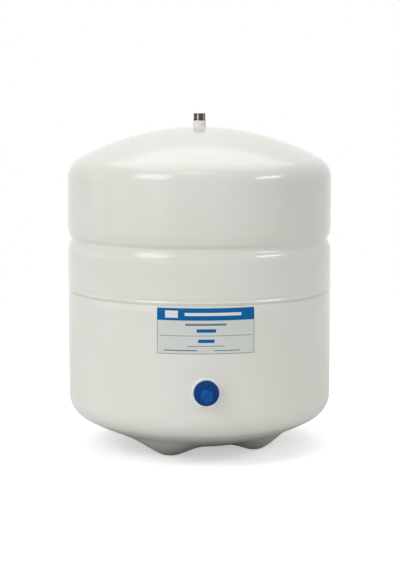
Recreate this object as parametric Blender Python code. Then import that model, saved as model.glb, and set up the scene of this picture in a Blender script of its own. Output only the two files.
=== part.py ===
"""Diaphragm storage tank for a reverse osmosis water filter.

Two drawn steel shells are lapped and welded into one tank. A rolled groove in the upper shell
holds the rim of a rubber diaphragm, which parts the water under the dome from the air below.
Water passes through the nipple on top. Air is set through the valve low on the front.
Units are metres and +Z is up. The tank stands on Z = 0 and its valve faces -Y.
"""
import math

import bmesh
import bpy
from mathutils import Vector

# Shells
BODY_RADIUS = 0.140
SHEET = 0.0010
CROWN_RADIUS = 0.265
KNUCKLE_RADIUS = 0.0238
BASE_CROWN_RADIUS = 0.2637
BASE_KNUCKLE_RADIUS = 0.0266
BASE_CLEARANCE = 0.0015
LOWER_WALL = 0.1135
SEAM_TO_GROOVE = 0.0515
GROOVE_TO_KNUCKLE = 0.0649

# Rolled groove
GROOVE_DEPTH = 0.0037
GROOVE_UPPER_FLANK = 0.0138
GROOVE_LOWER_FLANK = 0.0075
GROOVE_BIAS = 0.6

# Lap seam
LAP_LENGTH = 0.0145
LAP_CLEARANCE = 0.0004
LIP_FLARE = 0.00025
LIP_HEIGHT = 0.0027
WELD_HEIGHT = 0.0020
SHOULDER_DROP = 0.0007
SHOULDER_TAPER = 0.0065

# Pressed feet
FOOT_COUNT = 4
FOOT_TURN = math.radians(-30.8)
FOOT_CIRCLE = 0.0651
FOOT_TO_RIM = 0.0241
FOOT_INNER_BLEND = 0.0274
FOOT_SPREAD = math.radians(33)
FOOT_FLATTEN = 1.10

# Diaphragm, liner and the ring that holds them
LINER_WALL = 0.0015
LINER_DROP = 0.0010
LINER_KNUCKLE = 0.022
RING_WALL = 0.0012
RING_HEIGHT = 0.0145
RUBBER = 0.0020
RUBBER_KNUCKLE = 0.030
RUBBER_DROP = 0.0015
BEAD_FOOT = 0.0028

# Water nipple
SHANK_RADIUS = 0.00685
THREAD_RADIUS = 0.00645
NIPPLE_BORE = 0.0040
NIPPLE_REACH = 0.0142
THREAD_LENGTH = 0.0076
THREAD_CHAMFER = 0.0006
NIPPLE_FLANGE_WIDTH = 0.00565
NIPPLE_FLANGE = 0.0020
NIPPLE_TAIL = 0.0030
GASKET = 0.0015
NIPPLE_WELD_LEG = 0.0009
NIPPLE_WELD_HOLLOW = 0.0003

# Air valve
VALVE_ABOVE_KNUCKLE = 0.0257
BOSS_MARGIN = 0.0020
BOSS_FLANGE = 0.0030
BOSS_CHAMFER = 0.00075
BOSS_BARREL_WALL = 0.0024
BOSS_BARREL_INSIDE = 0.0045
SEAL_WIRE_RADIUS = 0.0010
HEAD_OVER_SEAL = 0.0004
HEAD_THICKNESS = 0.0026
BARREL_STEP = 0.00065
BARREL_LENGTH = 0.0120
TUBE_WALL = 0.0011
TUBE_LENGTH = 0.0118
TUBE_CHAMFER = 0.00045
CHAMBER_RADIUS = 0.00275
CHAMBER_LEDGE = 0.00085
CORE_LENGTH = 0.0105
CORE_RECESS = 0.0010
CORE_GROOVE_DEPTH = 0.0007
CORE_GROOVE_LENGTH = 0.0026
PIN_RADIUS = 0.0008
PIN_CHAMFER = 0.0004
PIN_RECESS = 0.0006
PIN_TAIL = 0.0038
PIN_SEAL_OVERLAP = 0.0009
PIN_SEAL_HEIGHT = 0.0017
PIN_SEAL_FIT = 0.0001
SPRING_CLEARANCE = 0.00045
SPRING_WIRE_RADIUS = 0.0003
SPRING_LENGTH = 0.0044
SPRING_TURNS = 4

# Valve cap
CAP_HEAD_CLEARANCE = 0.0007
CAP_SKIRT_WALL = 0.0033
CAP_ROOF = 0.0014
CAP_NOSE_WALL = 0.0014
CAP_NOSE_DRAFT = 0.0010
CAP_END_WALL = 0.0040
CAP_ROUNDING = 0.0012
CAP_TIP_ROUNDING = 0.0008
CAP_GASKET = 0.0018

# Label
LABEL_HEIGHT = 0.0456
LABEL_SPREAD = math.radians(40.2)
LABEL_SHEET = 0.00025
LABEL_BELOW_SEAM = 0.0041

# Clearance between pieces that seat on each other
GAP = 0.0003

# Facets
SHELL_SEGMENTS = 60
INNER_SEGMENTS = 36
SMALL_SEGMENTS = 24
CORE_SEGMENTS = 12
LABEL_COLUMNS = 10
SHARP_ANGLE = math.radians(35)

# Heights closer than this count as one when a ring of points is picked
SAME_HEIGHT = 0.00001

# Heights and radii that follow from the sizes above
INSIDE_RADIUS = BODY_RADIUS - SHEET
START_TURN = FOOT_TURN - math.pi / 2


def head_lean(radius, crown, knuckle):
    """Angle at the crown's centre between the axis and the join of crown and knuckle."""
    return math.asin((radius - knuckle) / (crown - knuckle))


def head_height(radius, crown, knuckle):
    """Height of a dished head from its tangent line to its pole."""
    return crown - (crown - knuckle) * math.cos(head_lean(radius, crown, knuckle))


def crown_height(r, radius, crown, knuckle, offset=0.0):
    """Height of the crown above the tangent line at radius r, offset inwards by a sheet."""
    centre = (crown - knuckle) * math.cos(head_lean(radius, crown, knuckle))
    return math.sqrt((crown - offset) ** 2 - r ** 2) - centre


BASE_KNUCKLE_Z = BASE_CLEARANCE + head_height(BODY_RADIUS, BASE_CROWN_RADIUS, BASE_KNUCKLE_RADIUS)
SEAM_Z = BASE_KNUCKLE_Z + LOWER_WALL
GROOVE_Z = SEAM_Z + SEAM_TO_GROOVE
TOP_KNUCKLE_Z = GROOVE_Z + GROOVE_TO_KNUCKLE
POLE_Z = TOP_KNUCKLE_Z + head_height(BODY_RADIUS, CROWN_RADIUS, KNUCKLE_RADIUS)

LINER_RADIUS = INSIDE_RADIUS - GROOVE_DEPTH - GAP
LINER_CROWN = CROWN_RADIUS - SHEET - LINER_DROP
LINER_POLE_Z = POLE_Z - SHEET - LINER_DROP
LINER_KNUCKLE_Z = LINER_POLE_Z - head_height(LINER_RADIUS, LINER_CROWN, LINER_KNUCKLE)
RING_RADIUS = LINER_RADIUS - LINER_WALL - GAP
RING_TOP_Z = GROOVE_Z - GROOVE_LOWER_FLANK - GAP
RING_LOW_Z = RING_TOP_Z - RING_HEIGHT
RUBBER_RADIUS = RING_RADIUS - RING_WALL - GAP

NIPPLE_FLANGE_RADIUS = SHANK_RADIUS + NIPPLE_FLANGE_WIDTH
SEAT_RADIUS = NIPPLE_FLANGE_RADIUS + GAP
SEAT_Z = LINER_KNUCKLE_Z + crown_height(
    SEAT_RADIUS, LINER_RADIUS, LINER_CROWN, LINER_KNUCKLE, LINER_WALL
)
GASKET_TOP_Z = SEAT_Z - GAP
FLANGE_TOP_Z = GASKET_TOP_Z - GASKET - GAP
NIPPLE_TAIL_Z = FLANGE_TOP_Z - NIPPLE_FLANGE - NIPPLE_TAIL
NIPPLE_TOP_Z = POLE_Z + NIPPLE_REACH
RUBBER_POLE_Z = NIPPLE_TAIL_Z - RUBBER_DROP

# Radii about the valve's axis, from the pin outwards
CORE_BORE = PIN_RADIUS + GAP
CORE_RADIUS = CHAMBER_RADIUS - GAP
CORE_GROOVE_RADIUS = CORE_RADIUS - CORE_GROOVE_DEPTH
PIN_SEAL_RADIUS = CORE_BORE + PIN_SEAL_OVERLAP
SPRING_RADIUS = CHAMBER_RADIUS - SPRING_CLEARANCE - SPRING_WIRE_RADIUS
AIR_BORE = CHAMBER_RADIUS - CHAMBER_LEDGE
TUBE_RADIUS = CHAMBER_RADIUS + TUBE_WALL
BARREL_RADIUS = TUBE_RADIUS + BARREL_STEP
BOSS_BORE = BARREL_RADIUS + GAP
BOSS_BARREL_RADIUS = BOSS_BORE + BOSS_BARREL_WALL
SEAL_POCKET_RADIUS = BOSS_BORE + 2 * SEAL_WIRE_RADIUS + GAP
HEAD_APOTHEM = SEAL_POCKET_RADIUS + HEAD_OVER_SEAL
CAP_CAVITY_RADIUS = HEAD_APOTHEM / math.cos(math.pi / 6) + CAP_HEAD_CLEARANCE
CAP_RADIUS = CAP_CAVITY_RADIUS + CAP_SKIRT_WALL
CAP_BORE = TUBE_RADIUS + GAP
CAP_NOSE_TIP_RADIUS = CAP_BORE + CAP_NOSE_WALL
CAP_NOSE_ROOT_RADIUS = CAP_NOSE_TIP_RADIUS + CAP_NOSE_DRAFT
BOSS_RADIUS = CAP_RADIUS + BOSS_MARGIN

# Distances from the tank's axis along the valve
BOSS_FACE = BODY_RADIUS + GAP + BOSS_FLANGE
HEAD_BACK = BOSS_FACE + GAP
HEAD_FACE = HEAD_BACK + HEAD_THICKNESS
TUBE_TIP = HEAD_FACE + TUBE_LENGTH
CORE_TIP = TUBE_TIP - CORE_RECESS
CORE_END = CORE_TIP - CORE_LENGTH
PIN_TIP = TUBE_TIP - PIN_RECESS
PIN_SEAL_TOP = CORE_END - GAP
PIN_SEAL_END = PIN_SEAL_TOP - PIN_SEAL_HEIGHT
PIN_END = PIN_SEAL_END - PIN_TAIL
SPRING_TOP = PIN_SEAL_END - GAP
SPRING_END = SPRING_TOP - SPRING_LENGTH
CHAMBER_END = SPRING_END - GAP
CAP_RIM = BOSS_FACE + GAP
CAP_CEILING = HEAD_FACE + GAP
CAP_FACE = CAP_CEILING + CAP_ROOF
CAP_GASKET_BACK = TUBE_TIP + GAP
CAP_BORE_END = CAP_GASKET_BACK + CAP_GASKET + GAP
CAP_TIP = CAP_BORE_END + CAP_END_WALL
VALVE_Z = BASE_KNUCKLE_Z + VALVE_ABOVE_KNUCKLE

# The origin lies under the middle of the outer box, so the tank's axis stands behind it
TANK_AXIS_Y = (CAP_TIP - BODY_RADIUS - LIP_FLARE) / 2


def clear_scene():
    for item in list(bpy.data.objects):
        bpy.data.objects.remove(item, do_unlink=True)


def finish(name, colour, roughness, metallic=0.0):
    """One Principled material with the part's colour, roughness and metallic value."""
    material = bpy.data.materials.new(name)
    material.use_nodes = True
    shader = material.node_tree.nodes["Principled BSDF"]
    shader.inputs["Base Color"].default_value = (*colour, 1.0)
    shader.inputs["Roughness"].default_value = roughness
    shader.inputs["Metallic"].default_value = metallic
    return material


def add_empty(name, location, rotation=(0.0, 0.0, 0.0), parent=None):
    empty = bpy.data.objects.new(name, None)
    empty.location = location
    empty.rotation_euler = rotation
    empty.parent = parent
    bpy.context.scene.collection.objects.link(empty)
    return empty


def add_object(name, data, material, parent):
    item = bpy.data.objects.new(name, data)
    data.materials.append(material)
    item.parent = parent
    bpy.context.scene.collection.objects.link(item)
    return item


def add_mesh(name, work, material, parent):
    """Closes a bmesh into a named, smooth-shaded object under its parent."""
    bmesh.ops.recalc_face_normals(work, faces=work.faces)
    mesh = bpy.data.meshes.new(name)
    work.to_mesh(mesh)
    work.free()
    mesh.shade_smooth()
    mesh.set_sharp_from_angle(angle=SHARP_ANGLE)
    return add_object(name, mesh, material, parent)


def spun(outline, segments, turn=0.0):
    """Turns an outline of (radius, height) points about Z into a bmesh.

    An outline that starts and ends on the axis is left open there, and any other is closed.
    """
    work = bmesh.new()
    across = Vector((math.cos(turn), math.sin(turn), 0.0))
    verts = [work.verts.new(across * r + Vector((0.0, 0.0, z))) for r, z in outline]
    pairs = list(zip(verts, verts[1:]))
    if outline[0][0] > 0.0 or outline[-1][0] > 0.0:
        pairs.append((verts[-1], verts[0]))
    edges = [work.edges.new(pair) for pair in pairs]
    bmesh.ops.spin(
        work,
        geom=verts + edges,
        cent=(0.0, 0.0, 0.0),
        axis=(0.0, 0.0, 1.0),
        angle=math.tau,
        steps=segments,
        use_merge=True,
    )
    bmesh.ops.remove_doubles(work, verts=work.verts, dist=1e-6)
    return work


def arc(centre, radius, start, end, steps):
    """Points on an arc from start to end, both in degrees and both included."""
    angles = [math.radians(start + (end - start) * i / steps) for i in range(steps + 1)]
    return [(centre[0] + radius * math.cos(a), centre[1] + radius * math.sin(a)) for a in angles]


def smooth(t):
    """Rises from 0 to 1 with a level start and end."""
    t = min(max(t, 0.0), 1.0)
    return t * t * (3.0 - 2.0 * t)


def knuckle_points(radius, knuckle, offset, lean, tangent_z, steps, up=1.0):
    """The knuckle's arc from the tangent line to the crown, offset inwards by a sheet."""
    points = []
    for i in range(steps):
        a = (math.pi / 2 - lean) * i / steps
        r = radius - knuckle + (knuckle - offset) * math.cos(a)
        points.append((r, tangent_z + up * (knuckle - offset) * math.sin(a)))
    return points


def head_points(radius, crown, knuckle, offset, tangent_z, hole, knuckle_steps, crown_steps):
    """A dished head's outline from its tangent line up to its pole, or to a hole round it."""
    lean = head_lean(radius, crown, knuckle)
    points = knuckle_points(radius, knuckle, offset, lean, tangent_z, knuckle_steps)
    edge = (crown - offset) * math.sin(lean)
    for i in range(crown_steps + 1):
        r = edge + (hole - edge) * i / crown_steps
        points.append((r, tangent_z + crown_height(r, radius, crown, knuckle, offset)))
    return points


def groove_points(offset, lower_steps, upper_steps):
    """The rolled groove from below upwards, with its steepest part just above the root."""
    wall = BODY_RADIUS - offset
    points = []
    for i in range(lower_steps):
        t = i / lower_steps
        z = GROOVE_Z - GROOVE_LOWER_FLANK * (1.0 - t)
        points.append((wall - GROOVE_DEPTH * smooth(t), z))
    for i in range(upper_steps + 1):
        t = i / upper_steps
        z = GROOVE_Z + GROOVE_UPPER_FLANK * t
        points.append((wall - GROOVE_DEPTH * (1.0 - smooth(t ** GROOVE_BIAS)), z))
    return points


def upper_shell(parent, paint):
    """Drawn dome and skirt with the rolled groove and a slightly flared lower lip."""
    hole = SHANK_RADIUS + GAP
    head = (BODY_RADIUS, CROWN_RADIUS, KNUCKLE_RADIUS)
    outside = [
        (BODY_RADIUS + LIP_FLARE / 2, SEAM_Z),
        (BODY_RADIUS + LIP_FLARE, SEAM_Z + LIP_HEIGHT / 3),
        (BODY_RADIUS, SEAM_Z + LIP_HEIGHT),
    ]
    outside += groove_points(0.0, 3, 5)
    outside += head_points(*head, 0.0, TOP_KNUCKLE_Z, hole, 4, 4)
    inside = [(INSIDE_RADIUS, SEAM_Z)]
    inside += groove_points(SHEET, 2, 3)
    inside += head_points(*head, SHEET, TOP_KNUCKLE_Z, hole, 3, 4)
    work = spun(outside + inside[::-1], SHELL_SEGMENTS, START_TURN)
    return add_mesh("upper_shell", work, paint, parent)


def crown_edge():
    """Radius at which the base's crown meets its knuckle."""
    lean = head_lean(BODY_RADIUS, BASE_CROWN_RADIUS, BASE_KNUCKLE_RADIUS)
    return BASE_CROWN_RADIUS * math.sin(lean)


def base_ring_radii():
    """Radii of the base's rings, close together where the feet are pressed."""
    rise = crown_edge() - FOOT_TO_RIM - FOOT_CIRCLE
    radii = [crown_edge()]
    radii += [FOOT_CIRCLE + rise * share for share in (1.0, 0.72, 0.44, 0.18, 0.0)]
    radii += [FOOT_CIRCLE - FOOT_INNER_BLEND * share for share in (0.18, 0.5, 1.0)]
    radii += [(FOOT_CIRCLE - FOOT_INNER_BLEND) / 2, 0.0]
    return radii


def base_points(offset, knuckle_steps):
    """The plain base outline from its tangent line down to its pole, before the feet."""
    head = (BODY_RADIUS, BASE_CROWN_RADIUS, BASE_KNUCKLE_RADIUS)
    lean = head_lean(*head)
    points = knuckle_points(
        BODY_RADIUS, BASE_KNUCKLE_RADIUS, offset, lean, BASE_KNUCKLE_Z, knuckle_steps, up=-1.0
    )
    inset = 1.0 - offset / BASE_CROWN_RADIUS
    for r in [ring * inset for ring in base_ring_radii()]:
        points.append((r, BASE_KNUCKLE_Z - crown_height(r, *head, offset)))
    return points


def foot_depth(r, angle):
    """How far the press pushes the base down at a place, to the floor at most."""
    if r > crown_edge():
        return 0.0
    head = (BODY_RADIUS, BASE_CROWN_RADIUS, BASE_KNUCKLE_RADIUS)
    to_floor = BASE_KNUCKLE_Z - crown_height(r, *head)
    pitch = math.tau / FOOT_COUNT
    off = abs((angle - FOOT_TURN + pitch / 2) % pitch - pitch / 2)
    out = (r - FOOT_CIRCLE) / (crown_edge() - FOOT_TO_RIM - FOOT_CIRCLE)
    inward = (FOOT_CIRCLE - r) / FOOT_INNER_BLEND
    share = (1.0 - smooth(max(out, inward))) * (1.0 - smooth(off / FOOT_SPREAD))
    return to_floor * min(FOOT_FLATTEN * share, 1.0)


def press_feet(work):
    """Pushes the feet out of the base, sheet and all."""
    for vert in work.verts:
        x, y, z = vert.co
        if z < BASE_KNUCKLE_Z:
            vert.co.z -= foot_depth(math.hypot(x, y), math.atan2(x, -y))


def lower_shell(parent, paint, valve_axis):
    """Drawn base with pressed feet, a stepped-in lap at its top and the valve's hole."""
    lap_radius = INSIDE_RADIUS - LAP_CLEARANCE
    shoulder_z = SEAM_Z - WELD_HEIGHT
    outside = [
        (lap_radius, SEAM_Z + LAP_LENGTH),
        (lap_radius, shoulder_z),
        (BODY_RADIUS - SHOULDER_DROP, shoulder_z - SHOULDER_DROP),
        (BODY_RADIUS, shoulder_z - SHOULDER_TAPER),
    ]
    outside += base_points(0.0, 4)
    inside = [
        (lap_radius - SHEET, SEAM_Z + LAP_LENGTH),
        (lap_radius - SHEET, shoulder_z - SHEET),
        (INSIDE_RADIUS, shoulder_z - SHOULDER_TAPER),
    ]
    inside += base_points(SHEET, 3)
    work = spun(outside + inside[::-1], SHELL_SEGMENTS, START_TURN)
    press_feet(work)
    shell = add_mesh("lower_shell", work, paint, parent)
    cut_hole(shell, valve_axis, BOSS_BARREL_RADIUS + GAP)
    return shell


def cut_hole(shell, valve_axis, radius):
    """Bores the front wall for the valve boss."""
    reach = 4 * SHEET
    outline = [
        (0.0, INSIDE_RADIUS - reach),
        (radius, INSIDE_RADIUS - reach),
        (radius, BODY_RADIUS + reach),
        (0.0, BODY_RADIUS + reach),
    ]
    grey = finish("cutter", (0.5, 0.5, 0.5), 0.5)
    cutter = add_mesh("valve_hole_cutter", spun(outline, SMALL_SEGMENTS), grey, valve_axis)
    cutter.hide_render = True
    cutter.display_type = "WIRE"
    cut = shell.modifiers.new("valve_hole", "BOOLEAN")
    cut.operation = "DIFFERENCE"
    cut.solver = "EXACT"
    cut.object = cutter


def seam_weld(parent, paint):
    """Painted weld bead in the corner between the upper lip and the lower shell's shoulder."""
    low = SEAM_Z - WELD_HEIGHT + GAP
    high = SEAM_Z - GAP
    root = INSIDE_RADIUS
    outline = [
        (root, low),
        (BODY_RADIUS - SHOULDER_DROP - GAP, low),
        (BODY_RADIUS - SHOULDER_DROP, (low + high) / 2),
        (BODY_RADIUS - GAP, high),
        (root, high),
    ]
    work = spun(outline, SHELL_SEGMENTS, START_TURN)
    return add_mesh("seam_weld", work, paint, parent)


def liner(parent, plastic):
    """Plastic dome liner with a flat seat for the gasket and its rim inside the bead."""
    hole = SHANK_RADIUS + GAP
    head = (LINER_RADIUS, LINER_CROWN, LINER_KNUCKLE)
    outside = [(LINER_RADIUS, RING_LOW_Z)]
    outside += head_points(*head, 0.0, LINER_KNUCKLE_Z, hole, 3, 4)
    inside = [(LINER_RADIUS - LINER_WALL, RING_LOW_Z)]
    inside += head_points(*head, LINER_WALL, LINER_KNUCKLE_Z, SEAT_RADIUS, 3, 4)
    inside.append((hole, SEAT_Z))
    work = spun(outside + inside[::-1], INNER_SEGMENTS, START_TURN)
    return add_mesh("liner", work, plastic, parent)


def clench_ring(parent, steel):
    """Steel hoop that presses liner and diaphragm against the wall under the groove."""
    outline = [
        (RING_RADIUS - RING_WALL, RING_LOW_Z),
        (RING_RADIUS, RING_LOW_Z),
        (RING_RADIUS, RING_TOP_Z),
        (RING_RADIUS - RING_WALL, RING_TOP_Z),
    ]
    work = spun(outline, INNER_SEGMENTS, START_TURN)
    return add_mesh("clench_ring", work, steel, parent)


def diaphragm(parent, rubber):
    """Rubber cup, blown up under the liner by the air charge, with its bead round the rim."""
    bead_out = INSIDE_RADIUS - GAP
    bead_in = LINER_RADIUS + GAP
    fold_z = RING_LOW_Z - GAP
    crown = LINER_CROWN - LINER_WALL
    head = (RUBBER_RADIUS, crown, RUBBER_KNUCKLE)
    tangent_z = RUBBER_POLE_Z - head_height(*head)
    upper = head_points(*head, 0.0, tangent_z, 0.0, 3, 3)[::-1]
    rim = [
        (RUBBER_RADIUS, fold_z),
        (bead_in, fold_z),
        (bead_in, RING_TOP_Z),
        (bead_out, RING_TOP_Z),
        (bead_out, fold_z + BEAD_FOOT / 2),
        (bead_out - BEAD_FOOT, fold_z - RUBBER),
        (RUBBER_RADIUS - RUBBER / 2, fold_z - RUBBER),
        (RUBBER_RADIUS - RUBBER, fold_z - RUBBER / 2),
    ]
    lower = head_points(*head, RUBBER, tangent_z, 0.0, 3, 3)
    work = spun(upper + rim + lower, INNER_SEGMENTS, START_TURN)
    return add_mesh("diaphragm", work, rubber, parent)


def water_nipple(parent, steel):
    """Turned nipple: flange under the liner, shank through the dome, thread above it."""
    outline = [
        (NIPPLE_BORE, NIPPLE_TAIL_Z),
        (SHANK_RADIUS, NIPPLE_TAIL_Z),
        (SHANK_RADIUS, FLANGE_TOP_Z - NIPPLE_FLANGE),
        (NIPPLE_FLANGE_RADIUS, FLANGE_TOP_Z - NIPPLE_FLANGE),
        (NIPPLE_FLANGE_RADIUS, FLANGE_TOP_Z),
        (SHANK_RADIUS, FLANGE_TOP_Z),
        (SHANK_RADIUS, NIPPLE_TOP_Z - THREAD_LENGTH),
        (THREAD_RADIUS, NIPPLE_TOP_Z - THREAD_LENGTH),
        (THREAD_RADIUS, NIPPLE_TOP_Z - THREAD_CHAMFER),
        (THREAD_RADIUS - THREAD_CHAMFER, NIPPLE_TOP_Z),
        (NIPPLE_BORE, NIPPLE_TOP_Z),
    ]
    return add_mesh("water_nipple", spun(outline, SMALL_SEGMENTS), steel, parent)


def nipple_gasket(parent, rubber):
    """Flat rubber ring between the nipple's flange and the liner."""
    outline = [
        (SHANK_RADIUS + GAP, GASKET_TOP_Z - GASKET),
        (NIPPLE_FLANGE_RADIUS, GASKET_TOP_Z - GASKET),
        (NIPPLE_FLANGE_RADIUS, GASKET_TOP_Z),
        (SHANK_RADIUS + GAP, GASKET_TOP_Z),
    ]
    return add_mesh("nipple_gasket", spun(outline, SMALL_SEGMENTS), rubber, parent)


def nipple_weld(parent, paint):
    """Small painted weld fillet where the nipple leaves the dome."""
    low = POLE_Z + GAP
    inner = SHANK_RADIUS + GAP
    outline = [
        (inner, low),
        (inner + NIPPLE_WELD_LEG, low),
        (inner + NIPPLE_WELD_HOLLOW, low + NIPPLE_WELD_HOLLOW),
        (inner, low + NIPPLE_WELD_LEG),
    ]
    return add_mesh("nipple_weld", spun(outline, SMALL_SEGMENTS), paint, parent)


def valve_boss(parent, paint):
    """Welded boss whose flange is saddled to the wall and whose barrel passes through it."""
    saddle = BODY_RADIUS + GAP
    pocket_floor = BOSS_FACE - 2 * SEAL_WIRE_RADIUS - GAP
    outline = [
        (BOSS_BORE, INSIDE_RADIUS - BOSS_BARREL_INSIDE),
        (BOSS_BARREL_RADIUS, INSIDE_RADIUS - BOSS_BARREL_INSIDE),
        (BOSS_BARREL_RADIUS, saddle),
        (BOSS_RADIUS, saddle),
        (BOSS_RADIUS, BOSS_FACE - BOSS_CHAMFER),
        (BOSS_RADIUS - BOSS_CHAMFER, BOSS_FACE),
        (SEAL_POCKET_RADIUS, BOSS_FACE),
        (SEAL_POCKET_RADIUS, pocket_floor),
        (BOSS_BORE, pocket_floor),
    ]
    work = spun(outline, SMALL_SEGMENTS)
    for vert in work.verts:
        if abs(vert.co.z - saddle) < SAME_HEIGHT:
            vert.co.z = math.sqrt(saddle ** 2 - vert.co.x ** 2)
    return add_mesh("valve_boss", work, paint, parent)


def stem_seal(parent, rubber):
    """Rubber ring in the boss's pocket, under the stem's head."""
    centre = (BOSS_BORE + SEAL_WIRE_RADIUS, BOSS_FACE - SEAL_WIRE_RADIUS)
    outline = arc(centre, SEAL_WIRE_RADIUS, 0, 315, 7)
    return add_mesh("stem_seal", spun(outline, SMALL_SEGMENTS), rubber, parent)


def valve_stem(parent, brass):
    """Brass stem: barrel in the boss, hexagon head on it and the threaded tube outside."""
    outline = [
        (AIR_BORE, HEAD_BACK - BARREL_LENGTH),
        (BARREL_RADIUS, HEAD_BACK - BARREL_LENGTH),
        (BARREL_RADIUS, HEAD_BACK),
        (HEAD_APOTHEM, HEAD_BACK),
        (HEAD_APOTHEM, HEAD_FACE),
        (TUBE_RADIUS, HEAD_FACE),
        (TUBE_RADIUS, TUBE_TIP - TUBE_CHAMFER),
        (TUBE_RADIUS - TUBE_CHAMFER, TUBE_TIP),
        (CHAMBER_RADIUS, TUBE_TIP),
        (CHAMBER_RADIUS, CHAMBER_END),
        (AIR_BORE, CHAMBER_END),
    ]
    work = spun(outline, SMALL_SEGMENTS)
    for vert in work.verts:
        if math.hypot(vert.co.x, vert.co.y) > (BARREL_RADIUS + HEAD_APOTHEM) / 2:
            turn = math.atan2(vert.co.y, vert.co.x)
            off = (turn + math.pi / 6) % (math.pi / 3) - math.pi / 6
            vert.co.xy = vert.co.xy / math.cos(off)
    return add_mesh("valve_stem", work, brass, parent)


def core_body(parent, brass):
    """Screw-in valve core with a groove for its seal."""
    middle = (CORE_TIP + CORE_END) / 2
    half = CORE_GROOVE_LENGTH / 2
    outline = [
        (CORE_BORE, CORE_END),
        (CORE_RADIUS, CORE_END),
        (CORE_RADIUS, middle - half),
        (CORE_GROOVE_RADIUS, middle - half),
        (CORE_GROOVE_RADIUS, middle + half),
        (CORE_RADIUS, middle + half),
        (CORE_RADIUS, CORE_TIP),
        (CORE_BORE, CORE_TIP),
    ]
    return add_mesh("core_body", spun(outline, CORE_SEGMENTS), brass, parent)


def core_seal(parent, plastic):
    """Plastic sealing ring in the core's groove."""
    middle = (CORE_TIP + CORE_END) / 2
    half = CORE_GROOVE_LENGTH / 2 - GAP
    outline = [
        (CORE_GROOVE_RADIUS + GAP, middle - half),
        (CORE_RADIUS, middle - half),
        (CORE_RADIUS, middle + half),
        (CORE_GROOVE_RADIUS + GAP, middle + half),
    ]
    return add_mesh("core_seal", spun(outline, CORE_SEGMENTS), plastic, parent)


def core_pin(parent, brass):
    """Valve pin that a gauge or pump pushes in."""
    outline = [
        (0.0, PIN_END),
        (PIN_RADIUS, PIN_END),
        (PIN_RADIUS, PIN_TIP - PIN_CHAMFER),
        (PIN_RADIUS - PIN_CHAMFER, PIN_TIP),
        (0.0, PIN_TIP),
    ]
    return add_mesh("core_pin", spun(outline, CORE_SEGMENTS), brass, parent)


def pin_seal(parent, rubber):
    """Rubber cup on the pin that closes the core's lower end."""
    outline = [
        (PIN_RADIUS + PIN_SEAL_FIT, PIN_SEAL_END),
        (PIN_SEAL_RADIUS, PIN_SEAL_END),
        (PIN_SEAL_RADIUS, PIN_SEAL_TOP),
        (PIN_RADIUS + PIN_SEAL_FIT, PIN_SEAL_TOP),
    ]
    return add_mesh("pin_seal", spun(outline, CORE_SEGMENTS), rubber, parent)


def core_spring(parent, steel):
    """Coil that pushes the pin's seal against the core, seated on the chamber's ledge."""
    low = SPRING_END + SPRING_WIRE_RADIUS
    high = SPRING_TOP - SPRING_WIRE_RADIUS
    points_per_turn = 8
    count = SPRING_TURNS * points_per_turn + 1
    curve = bpy.data.curves.new("core_spring", "CURVE")
    curve.dimensions = "3D"
    curve.bevel_depth = SPRING_WIRE_RADIUS
    curve.bevel_resolution = 0
    curve.use_fill_caps = True
    spline = curve.splines.new("POLY")
    spline.points.add(count - 1)
    for i, point in enumerate(spline.points):
        turn = math.tau * i / points_per_turn
        z = low + (high - low) * i / (count - 1)
        point.co = (SPRING_RADIUS * math.cos(turn), SPRING_RADIUS * math.sin(turn), z, 1.0)
    return add_object("core_spring", curve, steel, parent)


def valve_cap(parent, plastic):
    """Moulded screw cap: wide skirt over the stem's head and a tapered nose over the tube."""
    skirt = arc((CAP_RADIUS - CAP_ROUNDING, CAP_FACE - CAP_ROUNDING), CAP_ROUNDING, 0, 90, 2)
    nose_centre = (CAP_NOSE_TIP_RADIUS - CAP_TIP_ROUNDING, CAP_TIP - CAP_TIP_ROUNDING)
    nose = arc(nose_centre, CAP_TIP_ROUNDING, 0, 90, 3)
    outline = [(0.0, CAP_BORE_END), (CAP_BORE, CAP_BORE_END), (CAP_BORE, CAP_CEILING)]
    outline += [(CAP_CAVITY_RADIUS, CAP_CEILING), (CAP_CAVITY_RADIUS, CAP_RIM)]
    outline += [(CAP_RADIUS, CAP_RIM)] + skirt
    outline += [(CAP_NOSE_ROOT_RADIUS, CAP_FACE)] + nose + [(0.0, CAP_TIP)]
    return add_mesh("valve_cap", spun(outline, SMALL_SEGMENTS), plastic, parent)


def cap_gasket(parent, rubber):
    """Rubber disc at the end of the cap's bore."""
    outline = [
        (0.0, CAP_GASKET_BACK),
        (TUBE_RADIUS, CAP_GASKET_BACK),
        (TUBE_RADIUS, CAP_GASKET_BACK + CAP_GASKET),
        (0.0, CAP_GASKET_BACK + CAP_GASKET),
    ]
    return add_mesh("cap_gasket", spun(outline, SMALL_SEGMENTS), rubber, parent)


def label(parent, film):
    """Printed film wrapped on the front wall just under the seam."""
    inner = BODY_RADIUS + GAP
    outer = inner + LABEL_SHEET
    top = SEAM_Z - LABEL_BELOW_SEAM
    start = -math.pi / 2 - LABEL_SPREAD / 2
    across = Vector((math.cos(start), math.sin(start), 0.0))
    work = bmesh.new()
    corners = ((inner, top - LABEL_HEIGHT), (outer, top - LABEL_HEIGHT), (outer, top), (inner, top))
    verts = [work.verts.new(across * r + Vector((0.0, 0.0, z))) for r, z in corners]
    face = work.faces.new(verts)
    bmesh.ops.spin(
        work,
        geom=verts + list(face.edges) + [face],
        cent=(0.0, 0.0, 0.0),
        axis=(0.0, 0.0, 1.0),
        angle=LABEL_SPREAD,
        steps=LABEL_COLUMNS,
    )
    return add_mesh("label", work, film, parent)


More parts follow.
